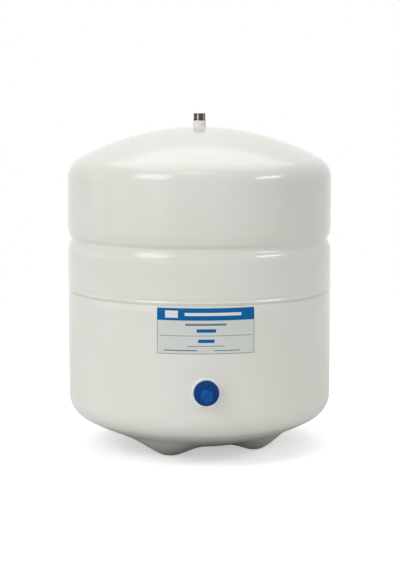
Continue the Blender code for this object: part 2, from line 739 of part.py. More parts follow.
def build():
    clear_scene()
    paint = finish("white_enamel", (0.71, 0.71, 0.66), 0.28)
    steel = finish("stainless_steel", (0.52, 0.48, 0.44), 0.25, 1.0)
    zinc = finish("zinc_plated_steel", (0.60, 0.60, 0.62), 0.35, 1.0)
    brass = finish("brass", (0.72, 0.55, 0.26), 0.30, 1.0)
    rubber = finish("black_rubber", (0.03, 0.03, 0.03), 0.75)
    polypropylene = finish("polypropylene", (0.80, 0.80, 0.78), 0.45)
    fluoroplastic = finish("fluoroplastic", (0.75, 0.12, 0.10), 0.45)
    blue = finish("blue_plastic", (0.005, 0.07, 0.28), 0.30)
    film = finish("label_film", (0.62, 0.63, 0.62), 0.35)

    tank_axis = add_empty("tank_axis", (0.0, TANK_AXIS_Y, 0.0))
    valve_axis = add_empty("valve_axis", (0.0, 0.0, VALVE_Z), (math.pi / 2, 0.0, 0.0), tank_axis)

    upper_shell(tank_axis, paint)
    lower_shell(tank_axis, paint, valve_axis)
    seam_weld(tank_axis, paint)
    liner(tank_axis, polypropylene)
    clench_ring(tank_axis, zinc)
    diaphragm(tank_axis, rubber)
    water_nipple(tank_axis, steel)
    nipple_gasket(tank_axis, rubber)
    nipple_weld(tank_axis, paint)
    label(tank_axis, film)
    valve_boss(valve_axis, paint)
    stem_seal(valve_axis, rubber)
    valve_stem(valve_axis, brass)
    core_body(valve_axis, brass)
    core_seal(valve_axis, fluoroplastic)
    core_pin(valve_axis, brass)
    pin_seal(valve_axis, rubber)
    core_spring(valve_axis, steel)
    valve_cap(valve_axis, blue)
    cap_gasket(valve_axis, rubber)


build()
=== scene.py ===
# Looks of a painted steel storage tank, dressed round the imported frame.
# Units are metres, +Z is up and the tank's valve faces -Y.
import math

import bmesh
import bpy
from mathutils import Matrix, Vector

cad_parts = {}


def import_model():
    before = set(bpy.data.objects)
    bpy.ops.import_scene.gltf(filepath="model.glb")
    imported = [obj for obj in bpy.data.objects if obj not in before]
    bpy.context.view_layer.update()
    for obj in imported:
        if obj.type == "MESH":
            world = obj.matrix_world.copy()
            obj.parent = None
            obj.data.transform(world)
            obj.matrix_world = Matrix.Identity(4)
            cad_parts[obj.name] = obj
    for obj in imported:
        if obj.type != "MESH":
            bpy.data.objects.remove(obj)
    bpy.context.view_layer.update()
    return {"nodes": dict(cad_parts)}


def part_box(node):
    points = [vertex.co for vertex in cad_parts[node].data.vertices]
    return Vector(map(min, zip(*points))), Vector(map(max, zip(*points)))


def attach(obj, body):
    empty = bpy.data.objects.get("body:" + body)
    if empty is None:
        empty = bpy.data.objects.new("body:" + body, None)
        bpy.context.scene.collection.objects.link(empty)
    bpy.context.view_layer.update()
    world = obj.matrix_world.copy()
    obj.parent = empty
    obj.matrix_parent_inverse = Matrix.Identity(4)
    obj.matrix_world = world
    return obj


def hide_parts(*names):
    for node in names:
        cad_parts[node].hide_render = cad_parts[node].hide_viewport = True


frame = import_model()
nodes = frame["nodes"]


def low(node):
    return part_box(node)[0]


def high(node):
    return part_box(node)[1]


# Sizes read from the frame
BODY_RADIUS = (high("lower_shell").x - low("lower_shell").x) / 2
AXIS_Y = (high("lower_shell").y + low("lower_shell").y) / 2
SEAM_Z = low("upper_shell").z
POLE_Z = high("upper_shell").z
NIPPLE_LOW_Z = low("water_nipple").z
NIPPLE_TOP_Z = high("water_nipple").z
LAP_TOP_Z = high("lower_shell").z
VALVE_Z = (high("valve_cap").z + low("valve_cap").z) / 2
CAP_RADIUS = (high("valve_cap").z - low("valve_cap").z) / 2
CAP_TIP = AXIS_Y - low("valve_cap").y
CAP_RIM = AXIS_Y - high("valve_cap").y
BOSS_RADIUS = (high("valve_boss").z - low("valve_boss").z) / 2
BOSS_FACE = AXIS_Y - low("valve_boss").y
BOSS_END = AXIS_Y - high("valve_boss").y
TUBE_TIP = AXIS_Y - low("valve_stem").y
BARREL_END = AXIS_Y - high("valve_stem").y
LABEL_LOW_Z = low("label").z
LABEL_TOP_Z = high("label").z
LABEL_HALF_ANGLE = math.asin(high("label").x / (AXIS_Y - low("label").y))

# Shell sizes that the frame's boxes don't give. The groove and the lip are trimmed
# a little closer to the photograph than in the solids.
SHEET = 0.0010
GAP = 0.0003
CROWN_RADIUS = 0.265
KNUCKLE_RADIUS = 0.0238
BASE_CROWN_RADIUS = 0.2637
BASE_KNUCKLE_RADIUS = 0.0266
BASE_CLEARANCE = 0.0015
SEAM_TO_GROOVE = 0.0529
GROOVE_DEPTH = 0.0036
GROOVE_ROOT_RADIUS = 0.0095
GROOVE_EDGE_RADIUS = 0.0170
GROOVE_STEEP_SHARE = 0.58
GROOVE_STEEP_FLANK = 0.0054
GROOVE_UPPER_FLANK = 0.0140
GROOVE_FLANK_SPACING = 1.4
LAP_CLEARANCE = 0.0004
LIP_FLARE = 0.00025
LIP_LEAN = math.radians(23)
LIP_RECESS = 0.00035
LIP_RUNOUT = 0.0040
LIP_ROUNDING = 0.0004
WELD_HEIGHT = 0.0020
WELD_BULGE = 0.0002
WELD_RIPPLES = 520
WELD_RIPPLE_HEIGHT = 0.00004
SHOULDER_DROP = 0.0007
SHOULDER_TAPER = 0.0065
FOOT_COUNT = 4
FOOT_TURN = math.radians(-30.8)
FOOT_CIRCLE = 0.0651
FOOT_TO_RIM = 0.0241
FOOT_INNER_BLEND = 0.0274
FOOT_SPREAD = math.radians(33)
FOOT_FLATTEN = 1.10
HOLE_DRILL_REACH = 0.004

# Nipple
SHANK_RADIUS = 0.00685
THREAD_RADIUS = 0.00645
NIPPLE_BORE = 0.0040
THREAD_LENGTH = 0.0076
THREAD_PITCH = 0.001411
THREAD_DEPTH = 0.00055
THREAD_CHAMFER = 0.0006
THREAD_FLANK_SHARE = 1.4
THREAD_STEP_IN = 0.0001
FLANGE_RADIUS = 0.0125
FLANGE_THICKNESS = 0.0020
NIPPLE_TAIL = 0.0030
NIPPLE_ROUNDING = 0.0004
NIPPLE_WELD_LEG = 0.0007
NIPPLE_WELD_INNER_GAP = 0.00005
NIPPLE_WELD_SINK = 0.00008
NIPPLE_WELD_SAG = 0.96

# Unevenness of the nipple's weld: height, waves round it, and where they start
NIPPLE_WELD_WAVES = ((0.00006, 9.0, 0.0), (0.00004, 23.0, 1.0))

# Valve and cap
HOLE_RADIUS = 0.0075
BOSS_BORE = 0.0048
BOSS_BARREL_RADIUS = 0.0072
BOSS_EDGE = 0.0009
SEAL_POCKET_RADIUS = 0.0071
SEAL_POCKET_DEPTH = 0.0023
HEAD_APOTHEM = 0.0075
HEAD_THICKNESS = 0.0026
HEAD_CHAMFER = 0.0005
HEAD_FACE_SHARE = 0.93
BARREL_RADIUS = 0.0045
TUBE_RADIUS = 0.00385
CHAMBER_RADIUS = 0.00275
CHAMBER_LENGTH = 0.0185
AIR_BORE = 0.0019
TUBE_PITCH = 0.000794
TUBE_THREAD_DEPTH = 0.00025
TUBE_THREAD_START = 0.0004
CAP_BORE = 0.00415
CAP_CAVITY_RADIUS = 0.00936
CAP_ROOF = 0.0014
CAP_END_WALL = 0.0040
CAP_NOSE_TIP_RADIUS = 0.00555
CAP_NOSE_ROOT_RADIUS = 0.00655
CAP_ROUNDING = 0.0012
CAP_TIP_ROUNDING = 0.0008
CAP_RIM_CHAMFER = 0.0003
CAP_NOSE_FILLET = 0.0007

# Label
LABEL_FILM = 0.00012
LABEL_LIFT = 0.00003
LABEL_BORDER = 0.0005
PRINT_BLUR = 0.00012

# Facets
SHELL_SEGMENTS = 288
SEAM_SEGMENTS = 720
FITTING_SEGMENTS = 96
FLOOR_SEGMENTS = 96
SHARP_ANGLE = math.radians(40)
CAD_SHARP_ANGLE = math.radians(35)

# Stage: the floor changes between pairs of distances from the tank's axis, and the light it bounces
# is painted dark under the tank as a painted shadow
FLOOR_RADIUS = 9.0
FLOOR_FADE = (0.35, 1.1)
UNDER_TO_NEAR = (0.09, 0.19)
NEAR_TO_FAR = (0.35, 0.70)
FLOOR_WHITE = 0.95
FLOOR_LIFT = 0.48
FLOOR_PAINTED_SHADOW = (0.14, 0.14, 0.13)
FLOOR_NEAR = (0.95, 0.95, 0.95)
FLOOR_FAR = (0.40, 0.40, 0.40)
AMBIENT = (0.32, 0.32, 0.32)
BACKGROUND = (1.0, 1.0, 1.0)
LIGHT_AIM_Z = 0.22

# Name, azimuth, angle above the floor, distance, size, radiance and shape
SOFTBOXES = (
    ("key_left", -47.0, 35.0, 2.2, (1.00, 0.80), 5.0, "RECTANGLE"),
    ("key_right", 61.5, 27.0, 2.2, (0.85, 0.30), 9.0, "RECTANGLE"),
    ("front", -12.0, 4.0, 2.4, (3.6, 1.2), 0.70, "ELLIPSE"),
    ("front_left", -55.0, 4.0, 2.2, (2.4, 1.2), 0.95, "ELLIPSE"),
    ("front_right", 40.0, 4.0, 2.2, (2.4, 1.2), 0.33, "ELLIPSE"),
    ("side_left", -95.0, 10.0, 2.2, (1.2, 1.2), 0.6, "ELLIPSE"),
    ("front_high", -10.0, 60.0, 2.2, (0.8, 0.8), 1.8, "ELLIPSE"),
)
OVERHEAD_PLACE = (0.10, 0.45, 1.62)
OVERHEAD_SIZE = (2.10, 1.60)
OVERHEAD_RADIANCE = 1.10

# Camera, fitted to the photograph's 400 x 570 frame
FRAME_LONG_SIDE = 570
CAMERA_DISTANCE = 1.6179
CAMERA_HEIGHT = 0.3879
CAMERA_AZIMUTH = math.radians(-2.7)
CAMERA_PITCH = math.radians(5.96)
CAMERA_LENS = 95.96
CAMERA_SENSOR = 36.0
HORIZON_PIXELS_ABOVE_MIDDLE = 44.6
AXIS_PIXELS_LEFT_OF_MIDDLE = 0.55

# Colours
ENAMEL = (0.745, 0.745, 0.695)
ENAMEL_WARM = (0.725, 0.722, 0.662)
BOSS_WHITE = (0.860, 0.890, 0.930)
BOSS_WHITE_DULL = (0.830, 0.855, 0.880)
STEEL_BROWN = (0.100, 0.078, 0.062)
STEEL_DARK = (0.066, 0.050, 0.040)
# Painted reflection: the colour of the bright streaks on the bare nipple
STEEL_PAINTED_REFLECTION = (0.470, 0.400, 0.355)
BRASS = (0.70, 0.52, 0.24)
BRASS_STAINED = (0.58, 0.42, 0.19)
ZINC = (0.62, 0.62, 0.64)
ZINC_DULL = (0.52, 0.52, 0.54)
RUBBER = (0.024, 0.024, 0.024)
RUBBER_GREY = (0.034, 0.033, 0.032)
LINER_WHITE = (0.76, 0.76, 0.73)
LINER_SHADE = (0.70, 0.70, 0.67)
SEAL_RED = (0.50, 0.030, 0.022)
SEAL_RED_DARK = (0.42, 0.025, 0.020)
# Painted light and shade on the cap: a lighter nose and a darker rim
CAP_RIM_SHADE_BLUE = (0.0006, 0.036, 0.145)
CAP_SKIRT_BLUE = (0.0008, 0.052, 0.215)
CAP_NOSE_LIT_BLUE = (0.0012, 0.078, 0.295)
LABEL_BLUE = (0.0024, 0.115, 0.345)
LABEL_GROUND = (0.640, 0.665, 0.630)
LABEL_LINE = (0.13, 0.21, 0.27)
LABEL_WHITE = (0.74, 0.76, 0.75)

# Painted reflections round the bare nipple: bright streaks that stand in for lamps seen in the
# steel, as a count and where the first stands
REFLECTION_STREAKS = 6.0
REFLECTION_STREAK_TURN = math.radians(-18.0)

# Rectangles on the label: left, right, bottom and top as shares of its width and height
BAND_SHARE = 0.268
PALE_BARS = ((0.285, 0.860, 0.835, 0.900), (0.085, 0.215, 0.790, 0.945))
BLUE_BARS = ((0.405, 0.600, 0.470, 0.545), (0.420, 0.585, 0.245, 0.320))
DARK_BARS = ((0.290, 0.705, 0.620, 0.665), (0.030, 0.970, 0.392, 0.404),
             (0.310, 0.690, 0.165, 0.180), (0.070, 0.410, 0.065, 0.090),
             (0.580, 0.850, 0.065, 0.085))


# Shape helpers

def smooth(t):
    """Rises from 0 to 1 with a level start and end."""
    t = min(max(t, 0.0), 1.0)
    return t * t * (3.0 - 2.0 * t)


def arc(centre, radius, start, end, steps):
    """Points on an arc from start to end, both in degrees and both included."""
    angles = [math.radians(start + (end - start) * i / steps) for i in range(steps + 1)]
    return [(centre[0] + radius * math.cos(a), centre[1] + radius * math.sin(a)) for a in angles]


def between(a, b, steps):
    """Points from a to b, both included."""
    return [(a[0] + (b[0] - a[0]) * i / steps, a[1] + (b[1] - a[1]) * i / steps)
            for i in range(steps + 1)]


def head_lean(crown, knuckle):
    """Angle at the crown's centre between the axis and the join of crown and knuckle."""
    return math.asin((BODY_RADIUS - knuckle) / (crown - knuckle))


def head_height(crown, knuckle):
    """Height of a dished head from its tangent line to its pole."""
    return crown - (crown - knuckle) * math.cos(head_lean(crown, knuckle))


def crown_height(r, crown, knuckle, offset=0.0):
    """Height of the crown above the tangent line at radius r, offset inwards by a sheet."""
    centre = (crown - knuckle) * math.cos(head_lean(crown, knuckle))
    return math.sqrt((crown - offset) ** 2 - r ** 2) - centre


GROOVE_Z = SEAM_Z + SEAM_TO_GROOVE
SHOULDER_Z = SEAM_Z - WELD_HEIGHT - SHOULDER_DROP
TOP_KNUCKLE_Z = POLE_Z - head_height(CROWN_RADIUS, KNUCKLE_RADIUS)
BASE_KNUCKLE_Z = BASE_CLEARANCE + head_height(BASE_CROWN_RADIUS, BASE_KNUCKLE_RADIUS)


def spun(outline, segments):
    """A closed mesh turned about Z from an outline of (radius, height) points."""
    work = bmesh.new()
    rings = []
    for r, z in outline:
        if r <= 0.0:
            rings.append([work.verts.new((0.0, 0.0, z))])
            continue
        turns = [math.tau * i / segments for i in range(segments)]
        rings.append([work.verts.new((r * math.cos(a), r * math.sin(a), z)) for a in turns])
    for lower, upper in zip(rings, rings[1:] + rings[:1]):
        if len(lower) == len(upper) == 1:
            continue
        for i in range(segments):
            j = (i + 1) % segments
            loop = [lower[i % len(lower)], lower[j % len(lower)],
                    upper[j % len(upper)], upper[i % len(upper)]]
            work.faces.new(list(dict.fromkeys(loop)))
    return work


def add_object(name, data):
    item = bpy.data.objects.new(name, data)
    bpy.context.scene.collection.objects.link(item)
    return item


def mesh_object(name, work):
    """Turns a bmesh into an object and frees it."""
    mesh = bpy.data.meshes.new(name)
    work.to_mesh(mesh)
    work.free()
    return add_object(name, mesh)


def piece(name, work, material, body, slot, *stands_for):
    """Turns a bmesh into a smooth piece on a body, in place of CAD nodes."""
    bmesh.ops.recalc_face_normals(work, faces=work.faces)
    item = mesh_object(name, work)
    item.data.shade_smooth()
    item.data.set_sharp_from_angle(angle=SHARP_ANGLE)
    item.data.materials.append(material)
    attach(item, body)
    if stands_for:
        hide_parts(*stands_for)
    return item


def on_tank_axis(work):
    for vert in work.verts:
        vert.co.y += AXIS_Y


def on_valve_axis(work):
    """Lays a piece that was turned about Z along the valve, pointing forwards."""
    for vert in work.verts:
        x, y, z = vert.co
        vert.co = (x, AXIS_Y - z, VALVE_Z + y)


# Materials

class Nodes:
    """A node tree and short ways to add nodes to it."""

    def __init__(self, tree):
        self.tree = tree

    def node(self, kind, **settings):
        made = self.tree.nodes.new(kind)
        for key, value in settings.items():
            setattr(made, key, value)
        return made

    def link(self, source, target):
        self.tree.links.new(source, target)

    def put(self, socket, value):
        """Links an output to a socket, or sets the socket's own value."""
        if isinstance(value, bpy.types.NodeSocket):
            self.link(value, socket)
        else:
            socket.default_value = value

    def ramp(self, value, start, end, low_value=0.0, high_value=1.0):
        """A soft rise from one value to another while the input goes from start to end."""
        found = self.node("ShaderNodeMapRange", interpolation_type="SMOOTHSTEP")
        self.put(found.inputs["Value"], value)
        found.inputs["From Min"].default_value = start
        found.inputs["From Max"].default_value = end
        found.inputs["To Min"].default_value = low_value
        found.inputs["To Max"].default_value = high_value
        return found.outputs["Result"]

    def math(self, operation, a, b=0.0):
        made = self.node("ShaderNodeMath", operation=operation)
        self.put(made.inputs[0], a)
        self.put(made.inputs[1], b)
        return made.outputs[0]

    def mix(self, share, a, b):
        made = self.node("ShaderNodeMix", data_type="RGBA")
        self.put(made.inputs["Factor"], share)
        for key, value in (("A", a), ("B", b)):
            socket = [s for s in made.inputs if s.name == key and s.type == "RGBA"][0]
            self.put(socket, (*value, 1.0) if isinstance(value, tuple) else value)
        return [s for s in made.outputs if s.type == "RGBA"][0]

    def split(self, vector):
        """The X, Y and Z outputs of a vector."""
        made = self.node("ShaderNodeSeparateXYZ")
        self.link(vector, made.inputs[0])
        return made.outputs

    def blend(self, share, first, second):
        """Mixes two shaders."""
        made = self.node("ShaderNodeMixShader")
        for socket, value in zip(made.inputs, (share, first, second)):
            self.link(value, socket)
        return made.outputs[0]


class Paintbox(Nodes):
    """A node material with its shader, textured by the object's own coordinates."""

    def __init__(self, name):
        self.material = bpy.data.materials.new(name)
        self.material.use_nodes = True
        super().__init__(self.material.node_tree)
        self.shader = self.tree.nodes["Principled BSDF"]
        self.place = self.node("ShaderNodeTexCoord").outputs["Object"]

    def noise(self, scale, detail=2.0, roughness=0.5, stretch=(1.0, 1.0, 1.0)):
        mapping = self.node("ShaderNodeMapping")
        mapping.inputs["Scale"].default_value = stretch
        self.link(self.place, mapping.inputs["Vector"])
        texture = self.node("ShaderNodeTexNoise")
        self.link(mapping.outputs["Vector"], texture.inputs["Vector"])
        texture.inputs["Scale"].default_value = scale
        texture.inputs["Detail"].default_value = detail
        texture.inputs["Roughness"].default_value = roughness
        return texture.outputs["Fac"]

    def wander(self, texture, low_value, high_value):
        """A value that follows a noise texture's middle range."""
        return self.ramp(texture, 0.3, 0.7, low_value, high_value)

    def bump(self, height, strength, distance, under=None):
        made = self.node("ShaderNodeBump")
        made.inputs["Strength"].default_value = strength
        made.inputs["Distance"].default_value = distance
        self.link(height, made.inputs["Height"])
        if under is not None:
            self.link(under, made.inputs["Normal"])
        return made.outputs["Normal"]

    def finish(self, colour, roughness, metallic=0.0, normal=None):
        for key, value in (("Base Color", colour), ("Roughness", roughness),
                           ("Metallic", metallic), ("Normal", normal)):
            if value is not None:
                self.put(self.shader.inputs[key], value)
        return self.material


def enamel_layers(box, clean=ENAMEL, dull=ENAMEL_WARM):
    """Colour, roughness and normal of a sprayed and baked white coat."""
    patches = box.noise(9.0, detail=3.0, roughness=0.55)
    colour = box.mix(box.ramp(patches, 0.35, 0.70), clean, dull)
    roughness = box.wander(box.noise(55.0, detail=3.0), 0.15, 0.19)
    swell = box.noise(34.0, detail=1.0, roughness=0.4)
    wave = box.bump(swell, strength=0.05, distance=0.0010)
    grain = box.noise(620.0, roughness=0.45)
    peel = box.bump(grain, strength=0.05, distance=0.00012, under=wave)
    return colour, roughness, peel


def enamel(name, clean, dull):
    box = Paintbox(name)
    colour, roughness, normal = enamel_layers(box, clean, dull)
    return box.finish(colour, roughness, normal=normal)


def nipple_steel(paint_top, thread_low):
    """Tarnished steel above the enamel's ragged edge, with painted reflections as bright streaks
    round it.
    """
    box = Paintbox("nipple_steel")
    paint, paint_roughness, peel = enamel_layers(box)
    place = box.split(box.place)
    raggedness, softness = 0.0009, 0.00012
    ragged = box.math("MULTIPLY_ADD", box.noise(420.0, detail=3.0), raggedness)
    ragged.node.inputs[2].default_value = -raggedness / 2
    edge = box.math("ADD", place["Z"], ragged)
    bare = box.ramp(edge, thread_low - softness, thread_low + softness)
    inside = box.ramp(place["Z"], paint_top - 0.0002, paint_top, 1.0, 0.0)
    bare = box.math("MAXIMUM", bare, inside)
    tarnish = box.noise(260.0, detail=4.0, roughness=0.6, stretch=(1.0, 1.0, 0.4))
    steel = box.mix(box.ramp(tarnish, 0.35, 0.68), STEEL_BROWN, STEEL_DARK)
    # Painted reflection: bright streaks at fixed turns round the nipple, broken up by the tarnish
    forward = box.math("SUBTRACT", AXIS_Y, place["Y"])
    turn = box.math("ARCTAN2", place["X"], forward)
    turned_by = box.math("SUBTRACT", turn, REFLECTION_STREAK_TURN)
    wave = box.math("COSINE", box.math("MULTIPLY", turned_by, REFLECTION_STREAKS))
    streak_reflection = box.math("ADD", wave, box.math("MULTIPLY", tarnish, 0.5))
    steel = box.mix(box.ramp(streak_reflection, 0.80, 1.30), steel, STEEL_PAINTED_REFLECTION)
    turned = box.noise(2600.0, stretch=(0.05, 0.05, 1.0))
    colour = box.mix(bare, paint, steel)
    steel_roughness = box.wander(turned, 0.16, 0.30)
    roughness = box.math("ADD", box.math("MULTIPLY", bare, steel_roughness),
                         box.math("MULTIPLY", box.math("SUBTRACT", 1.0, bare), paint_roughness))
    normal = box.bump(turned, strength=0.10, distance=0.00004, under=peel)
    return box.finish(colour, roughness, bare, normal)


def turned_metal(name, light, dark, low_roughness, high_roughness):
    """Machined metal with fine turning marks and faint stains."""
    box = Paintbox(name)
    stain = box.noise(180.0, detail=4.0, roughness=0.6)
    colour = box.mix(box.ramp(stain, 0.35, 0.7), light, dark)
    marks = box.noise(3200.0, stretch=(0.05, 1.0, 0.05))
    roughness = box.wander(marks, low_roughness, high_roughness)
    return box.finish(colour, roughness, 1.0, box.bump(marks, strength=0.12, distance=0.00004))


def moulded_surface(box, low_roughness, high_roughness):
    """Roughness and normal of a moulded piece with a fine grain."""
    grain = box.bump(box.noise(900.0), strength=0.06, distance=0.00008)
    return box.wander(box.noise(210.0, detail=3.0), low_roughness, high_roughness), grain


def moulded(name, light, dark, low_roughness, high_roughness):
    """Moulded plastic or rubber with soft flow marks."""
    box = Paintbox(name)
    flow = box.noise(120.0, detail=3.0, stretch=(1.0, 1.0, 2.5))
    colour = box.mix(box.ramp(flow, 0.3, 0.72), light, dark)
    roughness, grain = moulded_surface(box, low_roughness, high_roughness)
    return box.finish(colour, roughness, normal=grain)


def cap_plastic():
    """Blue plastic with painted light and shade: lighter on the cap's nose and darkest at the rim.
    """
    box = Paintbox("blue_plastic")
    place = box.split(box.place)
    side = box.math("POWER", place["X"], 2.0)
    rise = box.math("POWER", box.math("SUBTRACT", place["Z"], VALVE_Z), 2.0)
    radius = box.math("SQRT", box.math("ADD", side, rise))
    flow = box.noise(170.0, detail=3.0, stretch=(1.0, 1.0, 2.5))
    flow = box.math("MULTIPLY", flow, 0.0010)
    reach = box.math("ADD", radius, flow)
    # Painted light: the nose is coloured lighter than the skirt, though both are one plastic
    nose_end, half_width = CAP_NOSE_ROOT_RADIUS + 0.0005, 0.0006
    skirt = box.ramp(reach, nose_end - half_width, nose_end + half_width)
    colour = box.mix(skirt, CAP_NOSE_LIT_BLUE, CAP_SKIRT_BLUE)
    # Painted shade: the rounded rim is coloured darkest
    rim = box.ramp(reach, CAP_RADIUS - 0.0012, CAP_RADIUS + 0.0004)
    colour = box.mix(rim, colour, CAP_RIM_SHADE_BLUE)
    box.shader.inputs["Specular IOR Level"].default_value = 0.12
    roughness, grain = moulded_surface(box, 0.20, 0.28)
    return box.finish(colour, roughness, normal=grain)


def label_film(width, height):
    """Printed film: a blue band over a pale panel with plain bars, inside a thin border."""
    box = Paintbox("label_film")
    across = box.split(box.node("ShaderNodeUVMap", uv_map="print").outputs["UV"])
    u, v = across["X"], across["Y"]
    blur_u, blur_v = PRINT_BLUR / width, PRINT_BLUR / height

    def span(value, start, end, blur):
        rise = box.ramp(value, start - blur, start + blur)
        fall = box.ramp(value, end - blur, end + blur, 1.0, 0.0)
        return box.math("MULTIPLY", rise, fall)

    def bars(areas):
        found = None
        for left, right, bottom, top in areas:
            mask = box.math("MULTIPLY", span(u, left, right, blur_u), span(v, bottom, top, blur_v))
            found = mask if found is None else box.math("MAXIMUM", found, mask)
        return found

    border_u, border_v = LABEL_BORDER / width, LABEL_BORDER / height
    colour = box.mix(bars(((border_u, 1.0 - border_u, border_v, 1.0 - border_v),)),
                     LABEL_LINE, LABEL_GROUND)
    colour = box.mix(bars(((0.0, 1.0, 1.0 - BAND_SHARE, 1.0 + border_v),)), colour, LABEL_BLUE)
    colour = box.mix(bars(PALE_BARS), colour, LABEL_WHITE)
    colour = box.mix(bars(BLUE_BARS), colour, LABEL_BLUE)
    colour = box.mix(bars(DARK_BARS), colour, LABEL_LINE)
    roughness = box.wander(box.noise(140.0, detail=3.0), 0.26, 0.36)
    box.shader.inputs["Specular IOR Level"].default_value = 0.10
    ripple = box.bump(box.noise(60.0), strength=0.05, distance=0.0005)
    return box.finish(colour, roughness, normal=ripple)


# Shells

def knuckle_points(knuckle, offset, lean, tangent_z, steps, up=1.0):
    """The knuckle between wall and crown, without its last point."""
    points = []
    for i in range(steps):
        a = (math.pi / 2 - lean) * i / steps
        r = BODY_RADIUS - knuckle + (knuckle - offset) * math.cos(a)
        points.append((r, tangent_z + up * (knuckle - offset) * math.sin(a)))
    return points


def groove_points(offset, steps):
    """The rolled groove upwards: an edge, the root, and a flank that is steep near the root."""
    wall = BODY_RADIUS - offset
    root = wall - GROOVE_DEPTH
    radii = GROOVE_EDGE_RADIUS + GROOVE_ROOT_RADIUS
    steepest = math.degrees(math.acos(1.0 - GROOVE_DEPTH / radii))
    edge_z = GROOVE_Z - radii * math.sin(math.radians(steepest))
    points = arc((wall - GROOVE_EDGE_RADIUS, edge_z), GROOVE_EDGE_RADIUS, 0, steepest, steps)
    points += arc((root + GROOVE_ROOT_RADIUS, GROOVE_Z), GROOVE_ROOT_RADIUS,
                  180 + steepest, 180, steps)[1:-1]
    for i in range(2 * steps + 1):
        rise = GROOVE_UPPER_FLANK * (i / (2 * steps)) ** GROOVE_FLANK_SPACING
        share = (GROOVE_STEEP_SHARE * smooth(rise / GROOVE_STEEP_FLANK)
                 + (1.0 - GROOVE_STEEP_SHARE) * smooth(rise / GROOVE_UPPER_FLANK))
        points.append((root + GROOVE_DEPTH * share, GROOVE_Z + rise))
    return points


def dome_points(offset, hole, knuckle_steps, crown_steps):
    """The dome from the wall's end to the nipple's hole."""
    lean = head_lean(CROWN_RADIUS, KNUCKLE_RADIUS)
    points = knuckle_points(KNUCKLE_RADIUS, offset, lean, TOP_KNUCKLE_Z, knuckle_steps)
    edge = (CROWN_RADIUS - offset) * math.sin(lean)
    for i in range(crown_steps + 1):
        r = edge + (hole - edge) * i / crown_steps
        points.append((r, TOP_KNUCKLE_Z + crown_height(r, CROWN_RADIUS, KNUCKLE_RADIUS, offset)))
    return points


def lip_points():
    """The skirt's edge: rounded, leaning out, and drawn in a little above."""
    lip = BODY_RADIUS + LIP_FLARE
    points = arc((lip - LIP_ROUNDING, SEAM_Z + LIP_ROUNDING), LIP_ROUNDING,
                 -90, math.degrees(LIP_LEAN), 8)
    start, waist = points[-1], BODY_RADIUS - LIP_RECESS
    waist_z = start[1] + (start[0] - waist) / math.tan(LIP_LEAN)
    points += between(start, (waist, waist_z), 5)[1:-1]
    for i in range(9):
        t = i / 8
        points.append((waist + LIP_RECESS * smooth(t), waist_z + LIP_RUNOUT * t))
    return points


def tank_upper(paint):
    """Dome and skirt, with the rolled groove and the rounded, slightly flared lip."""
    hole = SHANK_RADIUS + GAP
    outside = lip_points()
    outside += groove_points(0.0, 12)
    outside += dome_points(0.0, hole, 20, 26)
    inside = [(BODY_RADIUS - SHEET, SEAM_Z)]
    inside += groove_points(SHEET, 6)
    inside += dome_points(SHEET, hole, 8, 10)
    work = spun(outside + inside[::-1], SHELL_SEGMENTS)
    on_tank_axis(work)
    return piece("tank_upper", work, paint, "tank", "enamel", "upper_shell")


def crown_edge():
    """Radius where the base's crown meets its knuckle."""
    lean = head_lean(BASE_CROWN_RADIUS, BASE_KNUCKLE_RADIUS)
    return BASE_CROWN_RADIUS * math.sin(lean)


def foot_depth(r, angle):
    """How far the press pushes the base down at a place, to the floor at most."""
    if r > crown_edge():
        return 0.0
    to_floor = BASE_KNUCKLE_Z - crown_height(r, BASE_CROWN_RADIUS, BASE_KNUCKLE_RADIUS)
    pitch = math.tau / FOOT_COUNT
    off = abs((angle - FOOT_TURN + pitch / 2) % pitch - pitch / 2)
    out = (r - FOOT_CIRCLE) / (crown_edge() - FOOT_TO_RIM - FOOT_CIRCLE)
    inward = (FOOT_CIRCLE - r) / FOOT_INNER_BLEND
    share = (1.0 - smooth(max(out, inward))) * (1.0 - smooth(off / FOOT_SPREAD))
    return to_floor * min(FOOT_FLATTEN * share, 1.0)


def base_points(offset, knuckle_steps, crown_steps):
    """The base without its feet, from the wall's end to the axis."""
    lean = head_lean(BASE_CROWN_RADIUS, BASE_KNUCKLE_RADIUS)
    points = knuckle_points(BASE_KNUCKLE_RADIUS, offset, lean, BASE_KNUCKLE_Z, knuckle_steps, -1.0)
    edge = (BASE_CROWN_RADIUS - offset) * math.sin(lean)
    for i in range(crown_steps + 1):
        r = edge * (1.0 - i / crown_steps)
        height = crown_height(r, BASE_CROWN_RADIUS, BASE_KNUCKLE_RADIUS, offset)
        points.append((r, BASE_KNUCKLE_Z - height))
    return points


def wall_radius(z):
    """Outer radius of the lower shell's wall, which draws in to the shoulder under the seam."""
    share = smooth((z - (SHOULDER_Z - SHOULDER_TAPER)) / SHOULDER_TAPER)
    return BODY_RADIUS - SHOULDER_DROP * share


